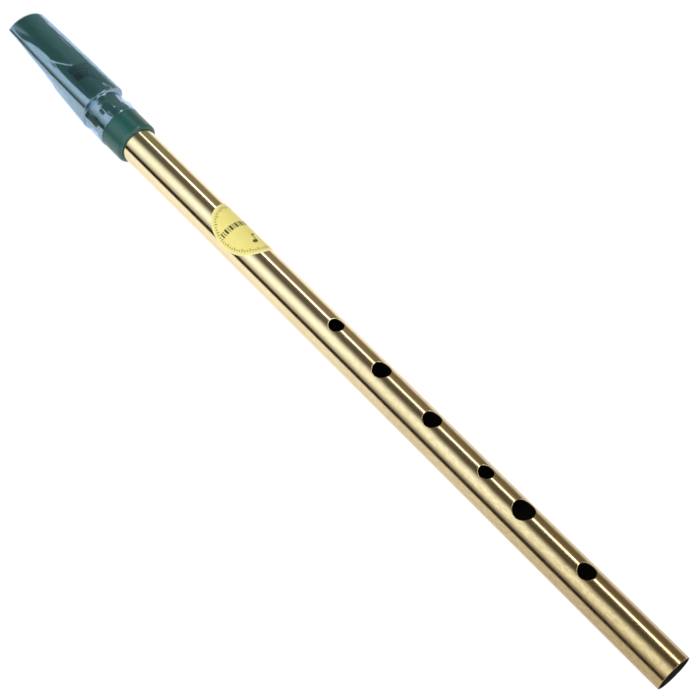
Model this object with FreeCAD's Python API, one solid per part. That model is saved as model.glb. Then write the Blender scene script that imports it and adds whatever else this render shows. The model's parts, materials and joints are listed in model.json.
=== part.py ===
import FreeCAD, Part
import math
import os

# A tin whistle in D: a drawn brass tube pushed into a one-piece moulded mouthpiece,
# with a printed sticker on the tube and a clear shrunk film over the mouthpiece.
#
# Frame: the origin is the centre of the open foot. +X points out of the foot, so the
# whistle runs towards -X. +Z is the side with the finger holes. Lengths are millimetres.
# A "station" is a distance from the foot, measured along the tube's axis.

Vector = FreeCAD.Vector

# --- brass tube ---------------------------------------------------------------
TUBE_RADIUS = 6.35          # half-inch tube
TUBE_WALL = 0.4
BORE_RADIUS = TUBE_RADIUS - TUBE_WALL
FOOT_EDGE = 0.12            # rounding of the sawn foot
# finger holes, from the foot: station and diameter
FINGER_HOLES = [
    (36.5, 5.9),
    (62.3, 7.2),
    (78.4, 5.0),
    (101.9, 6.1),
    (124.7, 6.1),
    (145.9, 5.1),
]

# --- mouthpiece, stations from its lip to its tip --------------------------------
LIP = 246.1                 # where the collar's mouth is
SOCKET_END = 262.0          # shoulder that stops the tube
COLLAR_END = 258.6
BODY_START = 265.8          # where the raised body begins, above the neck
RAMP_END = 267.5            # foot end of the recess round the ramp
BLADE = 277.0               # edge that splits the air
WINDOW_END = 281.3          # where the windway lets the air out
TIP = 310.5
BODY_LENGTH = TIP - BODY_START

COLLAR_RADIUS = 7.72
COLLAR_EDGE = 0.45
LIP_EDGE = 1.1             # rounding outside the collar's mouth
NECK_RADIUS = 6.95
SLIDING_GAP = 0.04          # between tube and socket
SOCKET_RADIUS = TUBE_RADIUS + SLIDING_GAP
SOCKET_CHAMFER = 0.1
THROAT_RADIUS = 5.6         # bore above the tube's end
POCKET_RADIUS = 4.2         # blind pocket under the windway's floor

# outline of the raised body at its foot end, and at the tip
CROWN_HEIGHT = 8.55         # top of the crown, above the axis
CROWN_HEIGHT_TIP = 8.6
CROWN_RADIUS = 12.0
CROWN_RADIUS_TIP = 10.0
HALF_WIDTH = 8.0
HALF_WIDTH_TIP = 7.15
SHOULDER = 3.9              # rounding between the crown and the side
SHOULDER_TIP = 2.2
LOW_RADIUS = 7.95
LOW_TAPER = 0.084           # how fast the underside draws in, per millimetre
BODY_EDGE = 0.35            # rounding of the body's two ends

# scoop under the beak: a quarter of an ellipse, seen from the side
SCOOP_LENGTH = 28.3
SCOOP_HEIGHT = 11.6
SCOOP_FLOOR = -6.7
SCOOP_WALL = 1.3

# recess in the crown: the ramp lies in it and the window goes down through its blown end
RECESS_HALF_WIDTH = 4.25
RECESS_ROOM = 4.5           # how far the recess is cut above the ramp
# the ramp at its foot end and at the blade: height of its arch and the arch's radius
RAMP_FOOT_END = (8.2, 12.0)
RAMP_BLADE = (5.85, 5.85)

# windway, an arched slot: height of its floor's arch, the arch's radius, its room and its half width
WINDWAY_EXIT = (5.35, 5.35, 0.95, 4.0)
WINDWAY_ENTRY = (6.1, 12.0, 1.2, 4.5)

# --- sticker ----------------------------------------------------------------------
LABEL_STATION = 193.5
LABEL_HALF_LENGTH = 12.0    # along the tube
LABEL_HALF_WRAP = 10.6      # round the tube
LABEL_THICKNESS = 0.09
LABEL_TURN = 20.6           # degrees past the line of the finger holes, towards +Y

# --- shrunk film --------------------------------------------------------------------
FILM_START = 255.6
FILM_STEP = 259.2           # where it leaves the collar
FILM_WAIST = (261.0, 265.2) # where it is narrowest, over the neck
FILM_WAIST_RADIUS = 7.5
FILM_END = 311.0
FILM_GAP = 0.06
FILM_THICKNESS = 0.12
STATION_COUNT = 8           # outlines through which the body is drawn

AXIS = Vector(-1, 0, 0)


def at(station, y=0.0, z=0.0):
    """A point at a station, off the axis by y and z."""
    return Vector(-station, y, z)


def rod(radius, start, end):
    """A round bar on the axis between two stations."""
    return Part.makeCylinder(radius, end - start, at(start), AXIS)


def cone(radius_start, radius_end, start, end):
    return Part.makeCone(radius_start, radius_end, end - start, at(start), AXIS)


def block(start, end, half_width, low, high):
    """A box between two stations, centred on the line of the holes."""
    return Part.makeBox(end - start, 2 * half_width, high - low, at(end, -half_width, low))


def edges_at(shape, station):
    """The edges that lie in the plane of one station."""
    found = []
    for edge in shape.Edges:
        box = edge.BoundBox
        if abs(box.XMin + station) < 1e-4 and abs(box.XMax + station) < 1e-4:
            found.append(edge)
    return found


def outline(station, height, radius, half_width, low, shoulder):
    """One closed outline across the body: a crown of that height and radius, sides that reach
    half_width, and an underside of radius low, all rounded into each other."""
    centre = height - radius
    across = half_width - shoulder
    rise = math.sqrt((radius - shoulder) ** 2 - across ** 2)
    up = centre + rise
    crown_end = math.atan2(rise, across)
    side = math.atan2(up, across) - math.acos((low - shoulder) / math.hypot(across, up))
    middle = (crown_end + side) / 2

    def crown(angle):
        return at(station, radius * math.cos(angle), centre + radius * math.sin(angle))

    def corner(angle):
        return at(station, across + shoulder * math.cos(angle), up + shoulder * math.sin(angle))

    def under(angle):
        return at(station, low * math.cos(angle), low * math.sin(angle))

    def other(point):
        return Vector(point.x, -point.y, point.z)

    up_point = crown(math.pi / 2)
    down_point = under(-math.pi / 2)
    right = corner(side)
    right_low = under(side)
    edges = [
        Part.Arc(other(crown(crown_end)), up_point, crown(crown_end)).toShape(),
        Part.Arc(crown(crown_end), corner(middle), right).toShape(),
        Part.LineSegment(right, right_low).toShape(),
        Part.Arc(right_low, down_point, other(right_low)).toShape(),
        Part.LineSegment(other(right_low), other(right)).toShape(),
        Part.Arc(other(right), other(corner(middle)), other(crown(crown_end))).toShape(),
    ]
    return Part.Wire(edges)


def body_outline(station, grow=0.0):
    """The raised body's outline at a station, grown all round."""
    run = (station - BODY_START) / BODY_LENGTH
    height = CROWN_HEIGHT + (CROWN_HEIGHT_TIP - CROWN_HEIGHT) * run
    radius = CROWN_RADIUS + (CROWN_RADIUS_TIP - CROWN_RADIUS) * run
    half_width = HALF_WIDTH + (HALF_WIDTH_TIP - HALF_WIDTH) * run * abs(run)
    shoulder = SHOULDER + (SHOULDER_TIP - SHOULDER) * run
    low = LOW_RADIUS - LOW_TAPER * (station - BODY_START)
    return outline(station, height + grow, radius + grow, half_width + grow, low + grow, shoulder + grow)


def body_loft(start, end, grow=0.0):
    """The raised body before it is hollowed, between two stations."""
    step = (end - start) / (STATION_COUNT - 1)
    wires = [body_outline(start + i * step, grow) for i in range(STATION_COUNT)]
    return Part.makeLoft(wires, True, False)


def scoop(shrink=0.0):
    """The space under the beak: a quarter ellipse seen from the side, as wide as the body."""
    length = SCOOP_LENGTH - shrink
    height = SCOOP_HEIGHT - shrink
    wide = 2 * HALF_WIDTH
    centre = at(TIP, -wide, SCOOP_FLOOR)
    ellipse = Part.Ellipse(centre, length, height)
    ellipse.Axis = Vector(0, -1, 0)
    face = Part.Face(Part.Wire([ellipse.toShape()]))
    whole = face.extrude(Vector(0, 2 * wide, 0))
    # past the tip, the scoop goes straight on
    beyond = block(TIP, TIP + SCOOP_LENGTH, wide, SCOOP_FLOOR - SCOOP_HEIGHT, SCOOP_FLOOR + height)
    return whole.fuse(beyond)


def make_tube():
    tube = rod(TUBE_RADIUS, 0, SOCKET_END)
    tube = tube.makeFillet(FOOT_EDGE, edges_at(tube, 0))
    tube = tube.cut(rod(BORE_RADIUS, -1, SOCKET_END + 1))
    for station, diameter in FINGER_HOLES:
        tool = Part.makeCylinder(diameter / 2, 2 * TUBE_RADIUS, at(station))
        tube = tube.cut(tool)
    return tube


def arch(station, height, radius, room, half_width):
    """The outline of an arched slot: its floor is an arc of that radius, whose top is at that
    height above the axis, and its roof is a concentric arc."""
    centre = height - radius

    def point(r, side):
        return at(station, side * half_width, centre + math.sqrt(r * r - half_width ** 2))

    roof = radius + room
    edges = [
        Part.Arc(point(radius, -1), at(station, 0, height), point(radius, 1)).toShape(),
        Part.LineSegment(point(radius, 1), point(roof, 1)).toShape(),
        Part.Arc(point(roof, 1), at(station, 0, height + room), point(roof, -1)).toShape(),
        Part.LineSegment(point(roof, -1), point(radius, -1)).toShape(),
    ]
    return Part.Wire(edges)


def windway():
    """The arched slot that leads the breath from the tip to the window."""
    return Part.makeLoft([arch(WINDOW_END, *WINDWAY_EXIT), arch(TIP, *WINDWAY_ENTRY)], True, True)


def recess():
    """The space above the ramp, which rises from the blade towards the foot."""
    foot_end = arch(RAMP_END, *RAMP_FOOT_END, RECESS_ROOM, RECESS_HALF_WIDTH)
    blade = arch(BLADE, *RAMP_BLADE, RECESS_ROOM, RECESS_HALF_WIDTH)
    return Part.makeLoft([foot_end, blade], True, True)


def make_mouthpiece():
    body = body_loft(BODY_START, TIP)
    body = body.makeFillet(BODY_EDGE, edges_at(body, BODY_START) + edges_at(body, TIP))
    body = body.cut(scoop())

    collar = rod(COLLAR_RADIUS, LIP, COLLAR_END)
    collar = collar.makeFillet(COLLAR_EDGE, edges_at(collar, COLLAR_END))
    collar = collar.makeFillet(LIP_EDGE, edges_at(collar, LIP))
    neck = rod(NECK_RADIUS, LIP + 1, BODY_START + 1)
    solid = collar.fuse([neck, body]).removeSplitter()

    # everything that the tube and the breath pass through
    throat = rod(THROAT_RADIUS, SOCKET_END - 1, WINDOW_END)
    pocket = rod(POCKET_RADIUS, WINDOW_END - 1, TIP).cut(scoop(-SCOOP_WALL))
    socket = rod(SOCKET_RADIUS, LIP - 1, SOCKET_END)
    lead_in = cone(SOCKET_RADIUS + SOCKET_CHAMFER, SOCKET_RADIUS, LIP, LIP + SOCKET_CHAMFER)

    window = block(BLADE, WINDOW_END, RECESS_HALF_WIDTH, 0, 2 * CROWN_HEIGHT)

    for space in (throat, pocket, socket, lead_in, recess(), window, windway()):
        solid = solid.cut(space)
    return solid


def make_label():
    """The sticker: an ellipse drawn on the tube's surface and thickened outwards."""
    surface = Part.Cylinder()
    surface.Radius = TUBE_RADIUS
    surface.Axis = AXIS
    middle = FreeCAD.Base.Vector2d(math.pi, LABEL_STATION)
    ellipse = Part.Geom2d.Ellipse2d(middle, LABEL_HALF_LENGTH, LABEL_HALF_WRAP / TUBE_RADIUS)
    patch = Part.Face(surface, Part.Wire([ellipse.toShape(surface)]))
    label = patch.makeOffsetShape(LABEL_THICKNESS, 1e-4, fill=True)
    # drawn on the underside, then turned to its place beside the finger holes
    label.rotate(Vector(0, 0, 0), AXIS, 180 + LABEL_TURN)
    return label


def film_skin(grow, overrun=0):
    """The film's outer or inner form: round on the collar, drawn in over the neck, then stretched
    over the body. The inner form overruns both ends."""

    def ring(station):
        radius = FILM_WAIST_RADIUS + grow
        return outline(station, radius + 0.1, radius + 0.1, radius + 0.05, radius, SHOULDER)

    waist_start, waist_end = FILM_WAIST
    sleeve = rod(COLLAR_RADIUS + grow, FILM_START - overrun, FILM_STEP)
    drop = cone(COLLAR_RADIUS + grow, FILM_WAIST_RADIUS + grow, FILM_STEP, waist_start)
    waist = rod(FILM_WAIST_RADIUS + grow, waist_start, waist_end)
    rise = Part.makeLoft([ring(waist_end), body_outline(BODY_START, grow)], True, True)
    over = body_loft(BODY_START, FILM_END + overrun, grow)
    return sleeve.fuse([drop, waist, rise, over]).cut(scoop(grow))


def make_film():
    return film_skin(FILM_GAP + FILM_THICKNESS).cut(film_skin(FILM_GAP, 1))


def main():
    nodes = {
        "brass_tube": make_tube(),
        "mouthpiece": make_mouthpiece(),
        "label": make_label(),
        "hygiene_film": make_film(),
    }
    os.makedirs("parts", exist_ok=True)
    for name, shape in nodes.items():
        shape.exportStep(f"parts/{name}.step")
        box = shape.BoundBox
        size = f"{box.XLength:.2f} x {box.YLength:.2f} x {box.ZLength:.2f}"
        print(f"{name}: {len(shape.Solids)} solid, valid {shape.isValid()}, {size} mm, {shape.Volume:.1f} mm3")


main()
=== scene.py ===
import json
import math

import bpy
import numpy as np
from mathutils import Matrix, Vector, noise


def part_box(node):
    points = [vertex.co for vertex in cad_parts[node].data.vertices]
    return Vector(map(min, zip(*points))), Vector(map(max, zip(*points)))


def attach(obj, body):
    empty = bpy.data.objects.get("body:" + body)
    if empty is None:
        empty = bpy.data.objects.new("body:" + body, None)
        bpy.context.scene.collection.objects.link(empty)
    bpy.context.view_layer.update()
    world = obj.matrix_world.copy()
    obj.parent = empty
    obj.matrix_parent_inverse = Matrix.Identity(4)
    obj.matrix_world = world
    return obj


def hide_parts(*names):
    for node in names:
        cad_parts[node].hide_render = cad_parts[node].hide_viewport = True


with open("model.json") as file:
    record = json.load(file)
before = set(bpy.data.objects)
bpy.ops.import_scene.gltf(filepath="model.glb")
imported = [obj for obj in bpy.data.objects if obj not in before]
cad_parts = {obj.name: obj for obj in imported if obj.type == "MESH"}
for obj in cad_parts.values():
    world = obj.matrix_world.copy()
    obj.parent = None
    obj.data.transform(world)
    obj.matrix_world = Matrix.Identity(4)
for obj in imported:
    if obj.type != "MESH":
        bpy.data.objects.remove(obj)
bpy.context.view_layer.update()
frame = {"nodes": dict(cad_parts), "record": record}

# A brass tin whistle with a green plastic mouthpiece, a printed sticker and a clear shrunk film.
#
# The frame is the CAD's: the origin is the centre of the open foot, +X points out of the foot and +Z is
# the side with the finger holes. A "station" is a distance from the foot along the tube, and an angle
# is measured round the tube from +Z towards +Y. Sizes below are millimetres; Blender gets metres.

MM = 0.001

# brass tube
TUBE_LENGTH = -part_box("brass_tube")[0].x / MM
TUBE_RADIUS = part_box("brass_tube")[1].z / MM
BORE_RADIUS = frame["record"]["mounts"][0]["dims"]["r_mm"]
FINGER_HOLES = [(36.5, 5.9), (62.3, 7.2), (78.4, 5.0), (101.9, 6.1), (124.7, 6.1), (145.9, 5.1)]
RIM = 0.16                  # rounding of the holes' rims and of the foot
RIM_TURNS = [math.radians(22.5 * step) for step in (1, 2, 3, 4)]
BORE_CHAMFER = (0.05, 0.08)  # at the foot: along the bore, and across its wall
TUBE_SIDES = 72
PLAIN_STEP = 4.0            # between rings where there is no hole
PATCH_CELLS = 20            # a finger hole sits in a square patch of this many cells each way
PATCH_HALF_LENGTH = 5.4
# rings round a hole, as shares of the way from its rim to the patch's border
OUTER_SHARES = (0.72, 0.48, 0.27, 0.1, 0.03, 0.0)
INNER_SHARES = (0.0, 0.04, 0.25, 0.6)

# mouthpiece, as far as the film needs it
COLLAR_RADIUS = 7.72
COLLAR_END = 258.6
BODY_START = 265.8
TIP = 310.5
# the raised body's outline, at its foot end and at the tip
CROWN_RADIUS = (12.0, 10.0)
CROWN_CENTRE = (-3.45, -1.4)
HALF_WIDTH = (8.0, 7.15)
SHOULDER = (3.9, 2.2)
LOW_RADIUS = 7.95
LOW_TAPER = 0.084
SCOOP_LENGTH = 28.3
SCOOP_HEIGHT = 11.6
SCOOP_FLOOR = -6.7

# sticker
LABEL_STATION = 193.5
LABEL_HALF_LENGTH = 12.0
LABEL_HALF_WRAP = 10.6
LABEL_THICKNESS = 0.09
LABEL_EDGE = 0.7            # share of its thickness where its edge is rounded
LABEL_GAP = 0.004           # between its underside and the tube
LABEL_TURN = 20.6
LABEL_SPOKES = 128
LABEL_SHARES = [i / 14 for i in range(1, 14)] + [0.97, 0.99, 1.0]   # its rings, from the middle out
LABEL_FOOT = 1.003          # the ring where its edge meets the tube

# camera: its place in metres, its axes, and its lens
CAMERA_PLACE = (0.0610, -0.2735, 0.4005)
CAMERA_RIGHT = (0.6583, 0.7324, 0.1732)
CAMERA_UP = (-0.6491, 0.4360, 0.6232)
LENS = 86.5
SENSOR = 36.0


# --- meshes -------------------------------------------------------------------------------

def add_piece(name, verts, faces, material, body, node, uvs=None):
    """A smooth-shaded piece from points in millimetres, which stands for a CAD node."""
    mesh = bpy.data.meshes.new(name)
    mesh.from_pydata([(x * MM, y * MM, z * MM) for x, y, z in verts], [], faces)
    mesh.validate()
    if uvs is not None:
        layer = mesh.uv_layers.new(name="print")
        for loop in mesh.loops:
            layer.data[loop.index].uv = uvs[loop.vertex_index]
    mesh.shade_smooth()
    mesh.materials.append(material)
    piece = bpy.data.objects.new(name, mesh)
    bpy.context.scene.collection.objects.link(piece)
    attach(piece, body)
    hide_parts(node)
    return piece


def on_tube(station, angle, radius):
    return (-station, radius * math.sin(angle), radius * math.cos(angle))


class TubeMesh:
    """The tube's wall as two skins of squares, with a fan of rings round each finger hole."""

    def __init__(self):
        self.verts = []
        self.faces = []
        self.grid = {}
        self.stations = self.station_list()

    def station_list(self):
        """Stations of the rings: close together beside a hole, wide apart between holes."""
        stations = [RIM]
        for station, _ in FINGER_HOLES:
            start = station - PATCH_HALF_LENGTH
            step = 2 * PATCH_HALF_LENGTH / PATCH_CELLS
            stations += self.plain_stations(stations[-1], start)[:-1]
            stations += [start + i * step for i in range(PATCH_CELLS + 1)]
        return stations + self.plain_stations(stations[-1], TUBE_LENGTH)

    def plain_stations(self, start, end):
        """Even stations after start, up to and with end."""
        gap = end - start
        count = max(1, round(gap / PLAIN_STEP))
        return [start + gap * (i + 1) / count for i in range(count)]

    def vert(self, point):
        self.verts.append(point)
        return len(self.verts) - 1

    def node(self, skin, ring, side):
        """The grid point of a skin ("out" or "in") at a ring and a side."""
        key = (skin, ring, side % TUBE_SIDES)
        if key not in self.grid:
            radius = TUBE_RADIUS if skin == "out" else BORE_RADIUS
            angle = 2 * math.pi * key[2] / TUBE_SIDES
            self.grid[key] = self.vert(on_tube(self.stations[ring], angle, radius))
        return self.grid[key]

    def quad(self, skin, a, b, c, d):
        self.faces.append((d, c, b, a) if skin == "out" else (a, b, c, d))

    def strip(self, first, second):
        """Squares between two closed rows of points."""
        for i in range(len(first)):
            j = (i + 1) % len(first)
            self.faces.append((first[i], second[i], second[j], first[j]))

    def patch_rings(self):
        """The first ring of each hole's patch."""
        rings = []
        for station, _ in FINGER_HOLES:
            start = station - PATCH_HALF_LENGTH
            rings.append(min(range(len(self.stations)), key=lambda i: abs(self.stations[i] - start)))
        return rings

    def walls(self):
        half = PATCH_CELLS // 2
        patches = self.patch_rings()
        for ring in range(len(self.stations) - 1):
            in_patch = any(first <= ring < first + PATCH_CELLS for first in patches)
            for side in range(-half, TUBE_SIDES - half):
                if in_patch and side < half:
                    continue
                for skin in ("out", "in"):
                    corners = [(ring, side), (ring + 1, side), (ring + 1, side + 1), (ring, side + 1)]
                    self.quad(skin, *[self.node(skin, r, s) for r, s in corners])

    def patch_border(self, first):
        """The grid points round a patch, as ring and side."""
        half = PATCH_CELLS // 2
        border = [(first, s) for s in range(-half, half)]
        border += [(first + r, half) for r in range(PATCH_CELLS)]
        border += [(first + PATCH_CELLS, s) for s in range(half, -half, -1)]
        border += [(first + r, -half) for r in range(PATCH_CELLS, 0, -1)]
        return border

    def hole(self, first, station, diameter):
        """One finger hole: rings from the patch's border to the rim, over it, and down the wall."""
        border = self.patch_border(first)
        patch_angle = 2 * math.pi * (PATCH_CELLS // 2) / TUBE_SIDES
        bearings = []
        for ring, side in border:
            along = (self.stations[ring] - station) / PATCH_HALF_LENGTH
            across = 2 * math.pi * side / TUBE_SIDES / patch_angle
            bearings.append((along, across, math.atan2(across, along)))

        def row(skin, reach, depth, share):
            """A ring of points at a distance from the hole's axis, part of the way to the border."""
            radius = (TUBE_RADIUS if skin == "out" else BORE_RADIUS) - depth
            points = []
            for along, across, bearing in bearings:
                near_x = reach * math.cos(bearing)
                near_angle = math.asin(reach * math.sin(bearing) / radius)
                x = near_x + (along * PATCH_HALF_LENGTH - near_x) * share
                angle = near_angle + (across * patch_angle - near_angle) * share
                points.append(self.vert(on_tube(station + x, angle, radius)))
            return points

        hole_radius = diameter / 2
        rows = [[self.node("out", r, s) for r, s in border]]
        rows += [row("out", hole_radius + RIM, 0.0, share) for share in OUTER_SHARES]
        for turn in RIM_TURNS:
            reach = hole_radius + RIM * (1 - math.sin(turn))
            rows.append(row("out", reach, RIM * (1 - math.cos(turn)), 0.0))
        rows += [row("in", hole_radius, 0.0, share) for share in INNER_SHARES]
        rows.append([self.node("in", r, s) for r, s in border])
        for outer, inner in zip(rows, rows[1:]):
            self.strip(inner, outer)

    def foot(self):
        """The deburred open end."""
        sides = range(TUBE_SIDES)
        along, across = BORE_CHAMFER
        rows = [[self.node("out", 0, s) for s in sides]]
        for turn in RIM_TURNS:
            rows.append(self.ring(RIM * (1 - math.sin(turn)), TUBE_RADIUS - RIM * (1 - math.cos(turn))))
        rows.append(self.ring(0.0, BORE_RADIUS + across))
        rows.append(self.ring(along, BORE_RADIUS))
        rows.append([self.node("in", 0, s) for s in sides])
        for first, second in zip(rows, rows[1:]):
            self.strip(first, second)

    def ring(self, station, radius):
        angles = [2 * math.pi * s / TUBE_SIDES for s in range(TUBE_SIDES)]
        return [self.vert(on_tube(station, angle, radius)) for angle in angles]

    def head_end(self):
        last = len(self.stations) - 1
        outside = [self.node("out", last, s) for s in range(TUBE_SIDES)]
        inside = [self.node("in", last, s) for s in range(TUBE_SIDES)]
        self.strip(inside, outside)

    def build(self, material):
        self.walls()
        for first, (station, diameter) in zip(self.patch_rings(), FINGER_HOLES):
            self.hole(first, station, diameter)
        self.foot()
        self.head_end()
        return add_piece("whistle_tube", self.verts, self.faces, material, "tube", "brass_tube")


def build_label(material):
    """The sticker: rings of an ellipse wrapped on the tube, with a thin rounded edge."""
    verts = []
    uvs = []
    faces = []

    def row(share, height):
        start = len(verts)
        for i in range(LABEL_SPOKES):
            turn = 2 * math.pi * i / LABEL_SPOKES
            along = LABEL_HALF_LENGTH * share * math.cos(turn)
            round_ = LABEL_HALF_WRAP * share * math.sin(turn)
            angle = math.radians(LABEL_TURN) + round_ / TUBE_RADIUS
            verts.append(on_tube(LABEL_STATION + along, angle, TUBE_RADIUS + height))
            uvs.append((0.5 + 0.5 * share * math.cos(turn), 0.5 + 0.5 * share * math.sin(turn)))
        return list(range(start, start + LABEL_SPOKES))

    rows = [row(share, LABEL_THICKNESS) for share in LABEL_SHARES[:-1]]
    rows.append(row(LABEL_SHARES[-1], LABEL_THICKNESS * LABEL_EDGE))
    rows.append(row(LABEL_FOOT, LABEL_GAP))
    rows += [row(share, LABEL_GAP) for share in reversed(LABEL_SHARES[:-1])]
    for outer, inner in zip(rows, rows[1:]):
        for i in range(LABEL_SPOKES):
            j = (i + 1) % LABEL_SPOKES
            faces.append((outer[i], inner[i], inner[j], outer[j]))
    for ring, height, flip in ((rows[0], LABEL_THICKNESS, False), (rows[-1], LABEL_GAP, True)):
        verts.append(on_tube(LABEL_STATION, math.radians(LABEL_TURN), TUBE_RADIUS + height))
        uvs.append((0.5, 0.5))
        middle = len(verts) - 1
        for i in range(LABEL_SPOKES):
            j = (i + 1) % LABEL_SPOKES
            faces.append((middle, ring[j], ring[i]) if flip else (middle, ring[i], ring[j]))
    return add_piece("sticker", verts, faces, material, "tube", "label", uvs)


# --- film -----------------------------------------------------------------------------------

FILM_START = -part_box("hygiene_film")[1].x / MM
FILM_END = -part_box("hygiene_film")[0].x / MM
FILM_GROW = 0.18            # its outside, above the plastic
FILM_THICKNESS = 0.05
OUTLINE_POINTS = (60, 60, 40, 80)   # of the body's crown, corner, flank and underside
FLAT_POINTS = 24            # and along its cut at the scoop
CENTRE_RISE = 0.58          # how much of the scoop's rise the section's centre follows
# stretches of the film, as where each ends and its number of rings, then the rings along the scoop
STRETCHES = [
    (COLLAR_END, 9), (265.2, 29), (266.2, 13), (271.0, 17), (279.0, 19), (TIP - SCOOP_LENGTH, 19),
]
SCOOP_RINGS = 59
END_RINGS = [(TIP + 0.25, 0.0), (FILM_END - 0.08, 0.08), (FILM_END, 0.30)]  # station and turn-in
FINE_ARC = (-66, 60)        # degrees: over the crown, where the sides are a degree wide
COARSE_SIDES = 30           # on the right, under it and on the left
WIDEST_EDGE = 150.0         # degrees: the coarse sides change here where there is no scoop
MEAN_RADIUS = 8.3           # turns an angle into a distance round the film

# it narrows a little past the collar, then climbs steeply over the body's end
WAIST_RADIUS = 7.5
WAIST_STATION = 262.2
CLIMB = (265.3, BODY_START + 0.1)
# it stands off beside the collar, on the far side: height, station and spread, and its arc in degrees
PUFF_HEIGHT = 0.5
PUFF_PLACE = (260.0, 1.1)
PUFF_ARC = ((25, 60), (150, 110))
# low on the near side it stays stretched between the collar and the body, with a flat flank
BRIDGE_ARC = (-60, -80, -104)   # degrees: where it leaves the neck, its ridge, and where it is back
BRIDGE_HEIGHT = 0.42
BRIDGE_FADE = ((258.4, 259.8), (266.4, 265.0))

# creases that stand up in the film: height, width, then (station, degrees) along each
CREASES = [
    (0.11, 0.26, [(263.0, -32), (263.3, -22), (263.2, -15), (262.4, -11), (260.9, -10), (259.2, -9)]),
    (0.10, 0.26, [(261.4, -32), (259.6, -32), (257.8, -34), (256.3, -32)]),
    (0.13, 0.40, [(269.2, 14), (267.4, 18), (265.4, 20), (263.6, 21), (261.4, 19), (259.6, 16)]),
    (0.20, 0.34, [(288.4, -34), (286.9, -31), (285.4, -26), (283.8, -20), (282.3, -14)]),
    (0.12, 0.45, [(303.8, 22), (301.9, 26), (299.8, 28), (297.6, 26)]),
    (0.12, 0.45, [(295.8, 21), (293.6, 20), (291.6, 19), (290.0, 22)]),
    (0.14, 0.50, [(293.0, 30), (290.4, 31), (287.6, 30), (285.4, 32)]),
]
CREASE_ARC = 0.145          # mm to a degree, for the distance from a crease

# a long fold beside the recess, where the film leaves the crown for the rounded side
FOLD_HEIGHT = 0.15
FOLD_FADE = ((265.4, 267.0), (308.5, 301.0))
FOLD_SPREAD = (6.0, 12.0)   # degrees: down the side, and over the crown
FOLD_EASE = 1.3             # how it falls off over the crown
FOLD = [
    (266.2, -39), (270.0, -40), (276.0, -41), (281.5, -40.5), (284.9, -38), (288.4, -35), (293.4, -36),
    (297.6, -39), (300.0, -42), (302.2, -46), (305.0, -50), (308.0, -52),
]

# crinkles: height, how often they come along the whistle and round it, and a seed
CROWN_CRINKLES = [(0.008, 0.16, 0.42, 3.1), (0.0015, 0.55, 0.9, 8.7)]
NECK_CRINKLES = [(0.02, 0.8, 0.5, 1.3)]
RIGHT_CRINKLES = [(0.10, 0.42, 0.75, 2.2), (0.05, 1.1, 1.3, 6.4)]
LEFT_CRINKLES = [(0.13, 0.30, 0.55, 5.5), (0.06, 0.9, 1.4, 7.7)]
CRINKLE_ROOM = 0.012        # added everywhere, so that no crinkle goes into the plastic
# where they fade in, by station or by degrees
HEAD_FADE = (264.5, 267.5)
NECK_FADE = (258.6, 260.0)
CALM_ARC = ((-24, -14), (34, 24))   # the neck is smoother here, by this share:
CALM_SHARE = 0.8
RIGHT_ARC = (22, 48)
RIGHT_FADE = (282, 288)
RIGHT_SHARES = (0.6, 1.4)   # before and after that fade
LEFT_ARC = (-58, -80)
LEFT_FADE = (296, 284)
LEFT_SHARES = (0.35, 1.0)


def between(ends, share):
    return ends[0] + (ends[1] - ends[0]) * share


def smooth(edge0, edge1, value):
    share = np.clip((value - edge0) / (edge1 - edge0), 0, 1)
    return share * share * (3 - 2 * share)


def within(value, rising, falling):
    """1 between two soft edges, 0 outside them."""
    return smooth(*rising, value) * smooth(*falling, value)


def scoop_height(station):
    """Height of the beak's underside, or None before the scoop."""
    reach = (TIP - min(station, TIP)) / SCOOP_LENGTH
    if reach >= 1:
        return None
    return SCOOP_FLOOR + SCOOP_HEIGHT * math.sqrt(1 - reach * reach)


def cut_at_scoop(station, grow, y, z):
    """The outline cut level at the scoop, and from there straight to the middle."""
    floor = scoop_height(station)
    if floor is None:
        return y, z
    floor -= grow
    keep = z > floor
    edge = len(z) if keep.all() else int(np.argmin(keep))
    width = np.interp(floor, z[::-1], y[::-1])
    y = np.concatenate([y[:edge], width * np.linspace(1, 0, FLAT_POINTS)])
    z = np.concatenate([z[:edge], np.full(FLAT_POINTS, floor)])
    return y, z


def body_section(station, grow):
    """Right half of the body's outline, from the crown's top to the underside, as y and z."""
    run = (station - BODY_START) / (TIP - BODY_START)
    radius = between(CROWN_RADIUS, run) + grow
    centre = between(CROWN_CENTRE, run)
    half_width = between(HALF_WIDTH, run * abs(run)) + grow
    shoulder = between(SHOULDER, run) + grow
    low = LOW_RADIUS - LOW_TAPER * (station - BODY_START) + grow
    across = half_width - shoulder
    rise = math.sqrt((radius - shoulder) ** 2 - across ** 2)
    up = centre + rise
    crown_end = math.atan2(rise, across)
    side = math.atan2(up, across) - math.acos((low - shoulder) / math.hypot(across, up))
    counts = OUTLINE_POINTS
    crown = np.linspace(math.pi / 2, crown_end, counts[0])
    corner = np.linspace(crown_end, side, counts[1])
    flank = np.linspace(0, 1, counts[2])[1:-1]
    under = np.linspace(side, -math.pi / 2, counts[3])
    y = np.concatenate([
        radius * np.cos(crown),
        across + shoulder * np.cos(corner),
        between((across + shoulder * math.cos(side), low * math.cos(side)), flank),
        low * np.cos(under),
    ])
    z = np.concatenate([
        centre + radius * np.sin(crown),
        up + shoulder * np.sin(corner),
        between((up + shoulder * math.sin(side), low * math.sin(side)), flank),
        low * np.sin(under),
    ])
    return cut_at_scoop(station, grow, y, z)


def film_centre(station):
    """Height of the point that the film's section is drawn round."""
    floor = scoop_height(station)
    return 0.0 if floor is None else CENTRE_RISE * (floor - SCOOP_FLOOR)


def signed(angles):
    """Angles between minus and plus half a turn."""
    return (angles + math.pi) % (2 * math.pi) - math.pi


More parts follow.
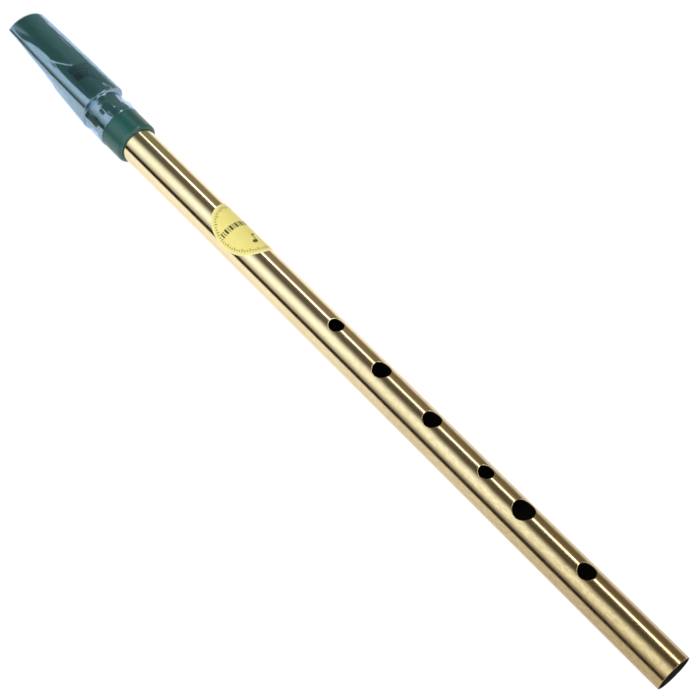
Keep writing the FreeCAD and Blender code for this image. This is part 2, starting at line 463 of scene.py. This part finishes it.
def body_reach(station, angles, grow):
    """Distance from the section's centre to the body's outline, at angles from +Z towards +Y."""
    y, z = body_section(station, grow)
    centre = film_centre(station)
    turn = np.arctan2(y, z - centre)
    reach = np.hypot(y, z - centre)
    order = np.argsort(turn)
    return np.interp(np.abs(signed(angles)), turn[order], reach[order])


def curve_points(points, per_span=12):
    """A smooth line through a few (station, degrees) points."""
    padded = [points[0]] + list(points) + [points[-1]]
    line = []
    for i in range(len(points) - 1):
        p0, p1, p2, p3 = [np.array(p, float) for p in padded[i:i + 4]]
        for t in np.linspace(0, 1, per_span, endpoint=False):
            line.append(0.5 * (2 * p1 + (p2 - p0) * t + (2 * p0 - 5 * p1 + 4 * p2 - p3) * t ** 2
                               + (3 * p1 - p0 - 3 * p2 + p3) * t ** 3))
    line.append(np.array(points[-1], float))
    return line


def film_stations():
    """Stations of the film's rings, close together where it climbs and at the scoop's start."""
    stations = [FILM_START]
    for end, rings in STRETCHES:
        stations += list(np.linspace(stations[-1], end, rings + 1)[1:])
    turns = np.linspace(0, math.pi / 2, SCOOP_RINGS + 1)[1:]
    stations += list(TIP - SCOOP_LENGTH * np.cos(turns))
    stations += [station for station, _ in END_RINGS]
    return np.array(stations)


def film_angles(station):
    """Angles round the film: close together over the crown, and one at each edge of the scoop."""
    y, z = body_section(max(station, BODY_START), FILM_GROW)
    edge = math.degrees(math.atan2(y[-FLAT_POINTS], z[-FLAT_POINTS] - film_centre(station)))
    edge = min(edge, WIDEST_EDGE)
    first, last = FINE_ARC
    crown = np.arange(first, last, 1.0)
    right = np.linspace(last, edge, COARSE_SIDES, endpoint=False)
    under = np.linspace(edge, 360 - edge, COARSE_SIDES, endpoint=False)
    left = np.linspace(360 - edge, 360 + first, COARSE_SIDES, endpoint=False)
    return np.radians(np.concatenate([crown, right, under, left]))


def film_reach(station, angles):
    """The film's outside before creases: distance from the section's centre at each angle."""
    degrees = np.degrees(signed(angles))
    body = body_reach(max(station, BODY_START), angles, FILM_GROW)
    narrowing = smooth(COLLAR_END, WAIST_STATION, station)
    waist = COLLAR_RADIUS + FILM_GROW + (WAIST_RADIUS - COLLAR_RADIUS) * narrowing
    middle, spread = PUFF_PLACE
    puff = PUFF_HEIGHT * np.exp(-((station - middle) / spread) ** 2) * within(degrees, *PUFF_ARC)
    start, ridge, end = BRIDGE_ARC
    flank = np.clip((start - degrees) / (start - ridge), 0, 1) ** 2 * smooth(end, ridge, degrees)
    bridge = BRIDGE_HEIGHT * flank * within(station, *BRIDGE_FADE)
    climb = smooth(*CLIMB, station)
    return (waist + puff + bridge) * (1 - climb) + body * climb


def film_fold(station, degrees):
    """Height of the fold: it rises steeply from the side and falls off slowly over the crown."""
    line = np.array(FOLD)
    crest = np.interp(station, line[:, 0], line[:, 1])
    steep, slow = FOLD_SPREAD
    side = np.clip((degrees - crest + steep) / steep, 0, 1)
    crown = np.clip((crest + slow - degrees) / slow, 0, 1) ** FOLD_EASE
    return FOLD_HEIGHT * within(station, *FOLD_FADE) * np.where(degrees < crest, side, crown)


def film_ripple(station, angle):
    """Fine unevenness of the shrunk film, in millimetres: smooth on the crown, crinkled low down."""
    degrees = math.degrees(angle)

    def crinkles(waves):
        rise = 0.0
        for height, along, around, seed in waves:
            rise += height * noise.noise(Vector((station * along, MEAN_RADIUS * angle * around, seed)))
        return rise

    head = smooth(*HEAD_FADE, station)
    neck = smooth(*NECK_FADE, station) * (1 - head) * (1 - CALM_SHARE * within(degrees, *CALM_ARC))
    right = smooth(*RIGHT_ARC, degrees) * head * between(RIGHT_SHARES, smooth(*RIGHT_FADE, station))
    left = smooth(*LEFT_ARC, degrees) * between(LEFT_SHARES, smooth(*LEFT_FADE, station))
    rise = CRINKLE_ROOM + crinkles(CROWN_CRINKLES) + neck * crinkles(NECK_CRINKLES)
    return rise + right * crinkles(RIGHT_CRINKLES) + left * crinkles(LEFT_CRINKLES)


def film_creases(stations, turns):
    """Height of the creases at each ring's station and each point's angle about the tube's axis."""
    rise = np.zeros(turns.shape)
    for height, width, points in CREASES:
        away = np.full(turns.shape, np.inf)
        for station, degrees in curve_points(points):
            gap = np.hypot(stations[:, None] - station, (np.degrees(turns) - degrees) * CREASE_ARC)
            away = np.minimum(away, gap)
        rise += height * np.exp(-(away / width) ** 2)
    return rise


def shell_faces(count, sides):
    """Squares over an outer and an inner skin of rings, and across both ends."""
    faces = []

    def at(skin, i, j):
        return (skin * count + i) * sides + j % sides

    for i in range(count - 1):
        for j in range(sides):
            faces.append((at(0, i, j), at(0, i + 1, j), at(0, i + 1, j + 1), at(0, i, j + 1)))
            faces.append((at(1, i, j + 1), at(1, i + 1, j + 1), at(1, i + 1, j), at(1, i, j)))
    last = count - 1
    for j in range(sides):
        faces.append((at(0, 0, j), at(0, 0, j + 1), at(1, 0, j + 1), at(1, 0, j)))
        faces.append((at(1, last, j), at(1, last, j + 1), at(0, last, j + 1), at(0, last, j)))
    return faces


def build_film(material):
    """The shrunk film: two skins of rings from the collar to the tip."""
    stations = film_stations()
    angles = np.array([film_angles(station) for station in stations])
    reach = np.array([film_reach(station, ring) for station, ring in zip(stations, angles)])
    centres = np.array([film_centre(station) for station in stations])[:, None]
    # folds, creases and ripples are placed by the angle about the tube's axis
    turns = np.arctan2(reach * np.sin(angles), centres + reach * np.cos(angles))
    for i, station in enumerate(stations):
        reach[i] += film_fold(station, np.degrees(turns[i]))
        reach[i] += [film_ripple(station, turn) for turn in turns[i]]
    reach += film_creases(stations, turns)
    # the end is turned in over the tip
    reach[-len(END_RINGS):] -= [[turn_in] for _, turn_in in END_RINGS]
    verts = []
    for inset in (0.0, FILM_THICKNESS):
        for station, centre, ring, row in zip(stations, centres[:, 0], angles, reach - inset):
            verts += [(-station, r * math.sin(a), centre + r * math.cos(a)) for a, r in zip(ring, row)]
    faces = shell_faces(*reach.shape)
    return add_piece("clear_film", verts, faces, material, "head", "hygiene_film")


# --- materials --------------------------------------------------------------------------------

WHITE = (1.0, 1.0, 1.0)
BRASS_BRIGHT = [(0.79, 0.65, 0.40), (0.87, 0.73, 0.46)]
# painted shade: the darker brass colours towards the foot stand in for light falling off along the tube
BRASS_SHADED = [(0.375, 0.265, 0.125), (0.47, 0.35, 0.18)]
BRASS_TARNISH = (0.42, 0.29, 0.13)
BRASS_MOTTLE = (0.26, 0.19, 0.09)
BRASS_SHADE_SPAN = (-0.20, 0.02)  # metres along X over which its colour goes from bright to painted shade, darker towards the foot
BORE_OXIDE = (0.022, 0.014, 0.008)
BORE_EDGE = (0.0001, 0.0003)    # metres outside the bore over which the oxide ends
PLASTIC_GREEN = [(0.009, 0.069, 0.059), (0.014, 0.089, 0.077)]
PLASTIC_SCUFF = (0.04, 0.12, 0.11)
PAPER = [(0.84, 0.68, 0.18), (0.93, 0.79, 0.265)]
PAPER_BORDER = (0.90, 0.80, 0.38)
TICK_INK = (0.22, 0.16, 0.02)
DARK_INK = (0.035, 0.026, 0.006)
FILM_GLOSS = (0.61, 0.79, 1.0)
FILM_HAZE = (0.72, 0.84, 0.95)

# what is printed on the sticker: shares of the way from its middle to its edge
TICK_COUNT = 66
TICK_RING = (0.835, 0.895)
LONG_TICK = 0.035           # how much further in every third tick starts
BORDER = 0.955
RIM_SOFT = 0.01
# and millimetres from its middle, along the tube and round it
BARS_ALONG = (1.0, 3.1)
BARS_ROUND = (-8.1, 8.1)
BAR_THICK = 0.42            # half the width of a thick bar
BAR_THIN = 0.84             # a thin bar is centred 1 mm from a thick one, and starts here
NOTE_PLACE = (-6.6, -1.1)
NOTE_HEAD = (0.7, 1.0)
STEM_ALONG = (0.0, 3.2)
STEM_ROUND = (0.62, 0.98)
FLAG_ALONG = (2.5, 3.2)
FLAG_ROUND = (0.8, 1.9)


class Nodes:
    """A node tree, with short calls for the nodes that the materials and the studio use."""

    def __init__(self, tree):
        self.tree = tree
        tree.nodes.clear()

    def add(self, kind, **settings):
        node = self.tree.nodes.new(kind)
        for key, value in settings.items():
            setattr(node, key, value)
        return node

    def put(self, socket, value):
        if isinstance(value, bpy.types.NodeSocket):
            self.tree.links.new(value, socket)
        elif isinstance(value, (tuple, list)) and len(value) == 3 and socket.type == "RGBA":
            socket.default_value = (*value, 1.0)
        else:
            socket.default_value = value

    def math(self, operation, a, b=0.0, c=0.0):
        node = self.add("ShaderNodeMath", operation=operation)
        for socket, value in zip(node.inputs, (a, b, c)):
            self.put(socket, value)
        return node.outputs[0]

    def step(self, value, start, end, low=0.0, high=1.0):
        """A smooth change from low to high as value goes from start to end."""
        node = self.add("ShaderNodeMapRange", interpolation_type="SMOOTHSTEP")
        for key, given in (("Value", value), ("From Min", start), ("From Max", end),
                           ("To Min", low), ("To Max", high)):
            self.put(node.inputs[key], given)
        return node.outputs["Result"]

    def band(self, value, low, high, soft):
        """1 between low and high, 0 outside."""
        rising = self.step(value, low - soft, low + soft)
        falling = self.step(value, high - soft, high + soft, 1.0, 0.0)
        return self.math("MULTIPLY", rising, falling)

    def mix(self, share, a, b):
        node = self.add("ShaderNodeMix", data_type="RGBA")
        self.put(node.inputs["Factor"], share)
        self.put(node.inputs[6], a)
        self.put(node.inputs[7], b)
        return node.outputs[2]

    def mix_shaders(self, share, a, b):
        node = self.add("ShaderNodeMixShader")
        for socket, value in zip(node.inputs, (share, a, b)):
            self.put(socket, value)
        return node.outputs[0]

    def split(self, vector):
        node = self.add("ShaderNodeSeparateXYZ")
        self.put(node.inputs[0], vector)
        return node.outputs

    def background(self, colour, strength):
        node = self.add("ShaderNodeBackground")
        self.put(node.inputs["Color"], colour)
        self.put(node.inputs["Strength"], strength)
        return node.outputs[0]


class Shader(Nodes):
    """The node tree of a new material."""

    def __init__(self, name):
        self.material = bpy.data.materials.new(name)
        self.material.use_nodes = True
        super().__init__(self.material.node_tree)
        self.output = self.add("ShaderNodeOutputMaterial")

    def principled(self, **inputs):
        node = self.add("ShaderNodeBsdfPrincipled")
        for key, value in inputs.items():
            self.put(node.inputs[key.replace("_", " ")], value)
        return node.outputs[0]

    def place(self, scale):
        """The object's own coordinates, scaled along each axis."""
        coordinates = self.add("ShaderNodeTexCoord")
        mapping = self.add("ShaderNodeMapping")
        self.put(mapping.inputs["Vector"], coordinates.outputs["Object"])
        mapping.inputs["Scale"].default_value = scale
        return mapping.outputs["Vector"]

    def noise(self, scale, detail=3.0, roughness=0.5):
        """Noise with that many features to a metre along each axis."""
        node = self.add("ShaderNodeTexNoise")
        self.put(node.inputs["Vector"], self.place(scale))
        node.inputs["Scale"].default_value = 1.0
        node.inputs["Detail"].default_value = detail
        node.inputs["Roughness"].default_value = roughness
        return node.outputs["Fac"]

    def bump(self, height, strength, distance):
        node = self.add("ShaderNodeBump")
        node.inputs["Strength"].default_value = strength
        node.inputs["Distance"].default_value = distance
        self.put(node.inputs["Height"], height)
        return node.outputs["Normal"]

    def finish(self, shader):
        self.tree.links.new(shader, self.output.inputs["Surface"])
        return self.material


def brass_material():
    """Drawn brass: fine grain along the tube, a painted shade that darkens it towards the foot, rougher
    there, and a dark bore.
    """
    s = Shader("drawn_brass")
    x, y, z = s.split(s.place((1, 1, 1)))
    grain = s.noise((14, 2600, 2600), 2.0)
    fine = s.noise((60, 5200, 5200), 2.0)
    cloud = s.noise((22, 70, 70), 4.0, 0.6)
    speckle = s.noise((600, 1300, 1300), 3.0, 0.6)
    # painted shade: this share darkens the brass towards the foot, for light falling off along the tube;
    # it also makes it rougher and more tarnished there
    foot = s.step(x, *BRASS_SHADE_SPAN)
    tarnish = s.math("MULTIPLY", s.step(cloud, 0.42, 0.72), s.math("MULTIPLY_ADD", foot, 0.4, 0.15))
    mottle = s.math("MULTIPLY", s.step(speckle, 0.38, 0.62), s.math("MULTIPLY_ADD", foot, 0.30, 0.05))
    colour = s.mix(foot, s.mix(grain, *BRASS_BRIGHT), s.mix(grain, *BRASS_SHADED))
    colour = s.mix(tarnish, colour, BRASS_TARNISH)
    colour = s.mix(mottle, colour, BRASS_MOTTLE)
    rough = s.math("MULTIPLY_ADD", grain, 0.06, 0.10)
    rough = s.math("MULTIPLY_ADD", foot, 0.03, rough)
    rough = s.math("MULTIPLY_ADD", tarnish, 0.07, rough)
    rough = s.math("MULTIPLY_ADD", mottle, 0.15, rough)
    relief = s.math("MULTIPLY_ADD", fine, 0.4, grain)

    # the bore was never polished: a brown oxide
    squares = s.math("ADD", s.math("MULTIPLY", y, y), s.math("MULTIPLY", z, z))
    start, end = [BORE_RADIUS * MM + out for out in BORE_EDGE]
    bore = s.step(s.math("SQRT", squares), start, end, 1.0, 0.0)
    return s.finish(s.principled(
        Base_Color=s.mix(bore, colour, BORE_OXIDE),
        Metallic=s.math("MULTIPLY_ADD", bore, -0.5, 1.0),
        Roughness=s.math("ADD", rough, s.math("MULTIPLY", bore, 0.35)),
        Normal=s.bump(relief, 0.22, 0.00002),
    ))


def plastic_material():
    """Dark green moulded plastic, glossy, with a faint flow pattern and fine scuffs."""
    s = Shader("green_moulded_plastic")
    flow = s.noise((40, 130, 130), 3.0, 0.55)
    grain = s.noise((2600, 2600, 2600), 2.0)
    scuffs = s.step(s.noise((180, 1500, 1500), 3.0, 0.65), 0.60, 0.74)
    rough = s.math("MULTIPLY_ADD", flow, 0.08, 0.29)
    return s.finish(s.principled(
        Base_Color=s.mix(s.math("MULTIPLY", scuffs, 0.18), s.mix(flow, *PLASTIC_GREEN), PLASTIC_SCUFF),
        Roughness=s.math("MULTIPLY_ADD", scuffs, 0.12, rough),
        IOR=1.49,
        Normal=s.bump(grain, 0.12, 0.00001),
    ))


def print_ticks(s, rim, bearing):
    """A ring of ticks, where every third one is longer."""
    turn = s.math("MULTIPLY", bearing, TICK_COUNT / (2 * math.pi))
    tick = s.band(s.math("PINGPONG", turn, 0.5), -1.0, 0.24, 0.06)
    long_tick = s.band(s.math("PINGPONG", s.math("DIVIDE", turn, 3.0), 0.5), -1.0, 0.17, 0.02)
    first, last = TICK_RING
    inner = s.math("MULTIPLY_ADD", long_tick, -LONG_TICK, first)
    rising = s.step(rim, s.math("SUBTRACT", inner, RIM_SOFT), s.math("ADD", inner, RIM_SOFT))
    falling = s.step(rim, last - RIM_SOFT, last + RIM_SOFT, 1.0, 0.0)
    return s.math("MULTIPLY", tick, s.math("MULTIPLY", rising, falling))


def print_bars(s, along, across):
    """A row of bars, a thick and a thin one by turns."""
    period = s.math("PINGPONG", s.math("ADD", across, 30.0), 1.0)
    thick = s.band(period, -1.0, BAR_THICK, 0.05)
    thin = s.band(period, BAR_THIN, 2.0, 0.05)
    bars = s.math("MULTIPLY", s.math("MAXIMUM", thick, thin), s.band(along, *BARS_ALONG, 0.08))
    return s.math("MULTIPLY", bars, s.band(across, *BARS_ROUND, 0.08))


def print_note(s, along, across):
    """A musical note: an oval head, a stem and a flag."""
    x = s.math("SUBTRACT", along, NOTE_PLACE[0])
    y = s.math("SUBTRACT", across, NOTE_PLACE[1])
    oval = s.math("ADD", s.math("POWER", s.math("DIVIDE", x, NOTE_HEAD[0]), 2.0),
                  s.math("POWER", s.math("DIVIDE", y, NOTE_HEAD[1]), 2.0))
    head = s.step(oval, 0.85, 1.15, 1.0, 0.0)
    stem = s.math("MULTIPLY", s.band(y, *STEM_ROUND, 0.05), s.band(x, *STEM_ALONG, 0.06))
    flag = s.math("MULTIPLY", s.band(y, *FLAG_ROUND, 0.08), s.band(x, *FLAG_ALONG, 0.08))
    return s.math("MAXIMUM", head, s.math("MAXIMUM", stem, flag))


def label_material():
    """Pale gold paper with a plain border, a ring of ticks, a row of bars and a note."""
    s = Shader("printed_sticker")
    u, v, _ = s.split(s.add("ShaderNodeUVMap", uv_map="print").outputs[0])
    along = s.math("MULTIPLY", s.math("SUBTRACT", u, 0.5), 2 * LABEL_HALF_LENGTH)
    across = s.math("MULTIPLY", s.math("SUBTRACT", v, 0.5), 2 * LABEL_HALF_WRAP)
    rim_x = s.math("DIVIDE", along, LABEL_HALF_LENGTH)
    rim_y = s.math("DIVIDE", across, LABEL_HALF_WRAP)
    rim = s.math("SQRT", s.math("ADD", s.math("POWER", rim_x, 2.0), s.math("POWER", rim_y, 2.0)))
    ticks = print_ticks(s, rim, s.math("ARCTAN2", rim_y, rim_x))
    dark = s.math("MAXIMUM", print_bars(s, along, across), print_note(s, along, across))
    mottle = s.noise((260, 260, 260), 4.0, 0.6)
    fibre = s.noise((1800, 1800, 1800), 3.0)
    paper = s.mix(s.step(rim, BORDER - RIM_SOFT, BORDER + RIM_SOFT), s.mix(mottle, *PAPER), PAPER_BORDER)
    printed = s.mix(s.math("MULTIPLY", ticks, 0.72), paper, TICK_INK)
    return s.finish(s.principled(
        Base_Color=s.mix(s.math("MULTIPLY", dark, 0.93), printed, DARK_INK),
        Roughness=s.math("MULTIPLY_ADD", mottle, 0.12, 0.34),
        Specular_IOR_Level=0.4,
        Normal=s.bump(fibre, 0.15, 0.00001),
    ))


def film_material():
    """Clear film: seen through, with a cool gloss that grows at grazing angles, and a faint haze."""
    s = Shader("clear_shrunk_film")
    facing = s.add("ShaderNodeLayerWeight")
    facing.inputs["Blend"].default_value = 0.5
    grazing = s.math("POWER", facing.outputs["Facing"], 3.5)
    gloss_share = s.math("MULTIPLY_ADD", grazing, 0.45, 0.18)
    haze_noise = s.noise((120, 420, 420), 3.0, 0.6)
    haze_share = s.math("MULTIPLY_ADD", s.step(haze_noise, 0.5, 0.8), 0.008, 0.001)
    clear = s.add("ShaderNodeBsdfTransparent")
    gloss = s.add("ShaderNodeBsdfGlossy")
    s.put(gloss.inputs["Color"], FILM_GLOSS)
    gloss.inputs["Roughness"].default_value = 0.06
    s.put(gloss.inputs["Normal"], s.bump(haze_noise, 0.06, 0.00003))
    haze = s.add("ShaderNodeBsdfDiffuse")
    s.put(haze.inputs["Color"], FILM_HAZE)
    under = s.mix_shaders(haze_share, clear.outputs[0], haze.outputs[0])
    return s.finish(s.mix_shaders(gloss_share, under, gloss.outputs[0]))


def floor_material():
    """Plain white, lit from within a little so that shadows on it stay faint."""
    s = Shader("white_floor")
    return s.finish(s.principled(
        Base_Color=(0.42, 0.42, 0.42),
        Roughness=0.9,
        Specular_IOR_Level=0.0,
        Emission_Color=WHITE,
        Emission_Strength=0.80,
    ))


def flag_material():
    """Dull black, for the card that makes the dark line along the tube."""
    s = Shader("black_card")
    return s.finish(s.principled(Base_Color=(0.02, 0.017, 0.012), Roughness=1.0, Specular_IOR_Level=0.0))


# --- studio -----------------------------------------------------------------------------------

# Directions are degrees from +Z towards +Y. A pair of *_ENDS is a direction's x, where something
# starts and where it is complete.
STRIP_EDGES = (23.5, 31.0)
STRIP_SOFT = 2.0
STRIP_COLOUR = (0.95, 0.98, 1.0)
STRIP_BRIGHTNESS = 4.2
STRIP_ENDS = (-0.543, -0.536)  # short of the mouthpiece's end
# the curtain's colour at its lower edge, on the camera's side, and at its far edge
CURTAIN = [(0.075, 0.11, 0.10), (0.21, 0.31, 0.26)]
CURTAIN_CHANGE = (0, 70)
CURTAIN_LOW = (-24, -10)
CURTAIN_FAR = (89, 80)
CURTAIN_DROP = 36              # how far its lower edge comes down beyond the tip
DROP_ENDS = (-0.610, -0.635)
BOX_RISE = (-78, -66)          # the soft box's soft edges
BOX_FALL = (-16, -28)
# how much brighter the soft box and the strip light are at the foot's end
BOX_GAIN = 0.46
BOX_GAIN_ENDS = (-0.50, -0.20)
STRIP_GAIN = 1.2
STRIP_GAIN_ENDS = (-0.32, -0.15)
BACKDROP = 1.1                 # brightness of the studio where it is seen directly

# The studio seen round the whistle, as (degrees, brightness, colour): a wide soft box on the camera's
# side, a dark ceiling and a dim warm wall behind.
STUDIO = [
    (-180, 1.0, WHITE),
    (-90, 0.2, WHITE),
    (-82, 0.55, (0.96, 0.98, 1.0)),
    (-72, 0.95, (0.94, 0.98, 1.0)),
    (-60, 1.40, (0.88, 0.96, 1.0)),
    (-50, 1.58, (0.82, 0.94, 1.0)),
    (-38, 1.50, (0.84, 0.95, 1.0)),
    (-28, 1.02, (0.90, 0.97, 1.0)),
    (-18, 0.45, (1.0, 0.98, 0.95)),
    (-9, 0.13, (1.0, 0.95, 0.82)),
    (12, 0.12, (1.0, 0.95, 0.85)),
    (18, 0.22, (1.0, 0.97, 0.90)),
    (36, 0.34, (1.0, 0.90, 0.70)),
    (44, 0.27, (1.0, 0.84, 0.60)),
    (74, 0.27, (1.0, 0.84, 0.60)),
    (88, 0.80, (1.0, 0.95, 0.90)),
    (96, 1.0, WHITE),
    (180, 1.0, WHITE),
]
STUDIO_PEAK = max(brightness for _, brightness, _ in STUDIO)

FLOOR_HALF = 3.0               # metres, as are the next two
FLOOR_GAP = 0.00005
FILM_SAG = 0.0001              # how far the film's creases may come below its CAD node
# the black card's extent in millimetres: along X, up, and its place to the camera's side
CARD_LENGTH = (-900, 600)
CARD_HEIGHT = (-7.0, 4.1)
CARD_SIDE = -34


def radians(degrees):
    return [math.radians(edge) for edge in degrees]


def bare_room(n, turn):
    """The studio's colour round the whistle, as a share of its peak."""
    ramp = n.add("ShaderNodeValToRGB")
    n.put(ramp.inputs[0], n.math("MULTIPLY_ADD", turn, 1 / (2 * math.pi), 0.5))
    stops = ramp.color_ramp.elements
    stops[0].position = 0.0
    stops[1].position = 1.0
    for degrees, _, _ in STUDIO[1:-1]:
        stops.new(degrees / 360 + 0.5)
    for stop, (_, brightness, colour) in zip(stops, STUDIO):
        stop.color = (*[c * brightness / STUDIO_PEAK for c in colour], 1.0)
    return ramp.outputs["Color"]


def room_light(n, along, turn):
    """The room with a dark cool curtain at the mouthpiece's end, over the ceiling and the back wall.

    Beyond the tip the curtain comes down over the soft box too."""
    curtain = n.math("SUBTRACT", 1.0, n.step(along, *STRIP_ENDS))
    drop = n.math("MULTIPLY", n.step(along, *DROP_ENDS), math.radians(CURTAIN_DROP))
    low = n.step(n.math("ADD", turn, drop), *radians(CURTAIN_LOW))
    far = n.step(turn, *radians(CURTAIN_FAR))
    hung = n.math("MULTIPLY", curtain, n.math("MULTIPLY", low, far))
    near_cloth, far_cloth = [[c / STUDIO_PEAK for c in colour] for colour in CURTAIN]
    cloth = n.mix(n.step(turn, *radians(CURTAIN_CHANGE)), near_cloth, far_cloth)
    box = n.math("MULTIPLY", n.step(turn, *radians(BOX_RISE)), n.step(turn, *radians(BOX_FALL)))
    gain = n.math("MULTIPLY", box, n.step(along, *BOX_GAIN_ENDS))
    strength = n.math("MULTIPLY_ADD", gain, BOX_GAIN * STUDIO_PEAK, STUDIO_PEAK)
    return n.background(n.mix(hung, bare_room(n, turn), cloth), strength)


def strip_light(n, along, turn):
    """A narrow band overhead that stops short of the mouthpiece's end."""
    first, last = radians(STRIP_EDGES)
    band = n.band(turn, first, last, math.radians(STRIP_SOFT))
    band = n.math("MULTIPLY", band, n.step(along, *STRIP_ENDS))
    gain = n.math("MULTIPLY_ADD", n.step(along, *STRIP_GAIN_ENDS), STRIP_GAIN, 1.0)
    brightness = n.math("MULTIPLY", gain, STRIP_BRIGHTNESS)
    return n.background(STRIP_COLOUR, n.math("MULTIPLY", band, brightness))


def build_world():
    """The studio, which the brass and the film mirror and which lights everything."""
    world = bpy.data.worlds.new("studio")
    bpy.context.scene.world = world
    world.use_nodes = True
    n = Nodes(world.node_tree)
    along, y, z = n.split(n.add("ShaderNodeTexCoord").outputs["Generated"])
    turn = n.math("ARCTAN2", y, z)
    both = n.add("ShaderNodeAddShader")
    n.put(both.inputs[0], room_light(n, along, turn))
    n.put(both.inputs[1], strip_light(n, along, turn))
    # seen directly, past the floor, the studio is a plain white backdrop
    direct = n.add("ShaderNodeLightPath").outputs["Is Camera Ray"]
    seen = n.mix_shaders(direct, both.outputs[0], n.background(WHITE, BACKDROP))
    n.put(n.add("ShaderNodeOutputWorld").inputs["Surface"], seen)


def add_card(name, corners, material):
    mesh = bpy.data.meshes.new(name)
    mesh.from_pydata(corners, [], [(0, 1, 2, 3)])
    mesh.materials.append(material)
    card = bpy.data.objects.new(name, mesh)
    bpy.context.scene.collection.objects.link(card)
    return card


def build_floor():
    """The whistle lies on its foot's lower edge and on the film under its head's shoulder."""
    foot = -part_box("brass_tube")[1].z
    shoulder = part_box("hygiene_film")[0].z - FILM_SAG
    slope = (foot - shoulder) / (BODY_START * MM)
    corners = []
    for x, y in ((-1, -1), (1, -1), (1, 1), (-1, 1)):
        corners.append((x * FLOOR_HALF, y * FLOOR_HALF, foot + slope * x * FLOOR_HALF - FLOOR_GAP))
    add_card("floor", corners, floor_material())


def build_flag():
    """A low black card beside the whistle, seen only in reflections: the dark line along its side."""
    start, end = CARD_LENGTH
    low, high = CARD_HEIGHT
    corners = [(start, low), (end, low), (end, high), (start, high)]
    corners = [(x * MM, CARD_SIDE * MM, z * MM) for x, z in corners]
    flag = add_card("flag", corners, flag_material())
    flag.visible_camera = False
    flag.visible_diffuse = False
    flag.visible_shadow = False
    flag.visible_transmission = False


def build_camera():
    right = Vector(CAMERA_RIGHT).normalized()
    up = Vector(CAMERA_UP)
    up = (up - right * up.dot(right)).normalized()
    back = right.cross(up)
    camera = bpy.data.objects.new("camera", bpy.data.cameras.new("camera"))
    camera.data.lens = LENS
    camera.data.sensor_width = SENSOR
    camera.data.clip_start = 0.01
    camera.data.clip_end = 50.0
    turn = Matrix((right, up, back)).transposed()
    camera.matrix_world = Matrix.Translation(CAMERA_PLACE) @ turn.to_4x4()
    bpy.context.scene.collection.objects.link(camera)
    bpy.context.scene.camera = camera


def paint(node, material):
    """Give a CAD node that stays its finished material."""
    piece = frame["nodes"][node]
    piece.data.materials.clear()
    piece.data.materials.append(material)


def main():
    bpy.context.scene.view_settings.view_transform = "Standard"
    build_camera()
    build_world()
    build_floor()
    build_flag()
    TubeMesh().build(brass_material())
    build_label(label_material())
    build_film(film_material())
    paint("mouthpiece", plastic_material())


main()
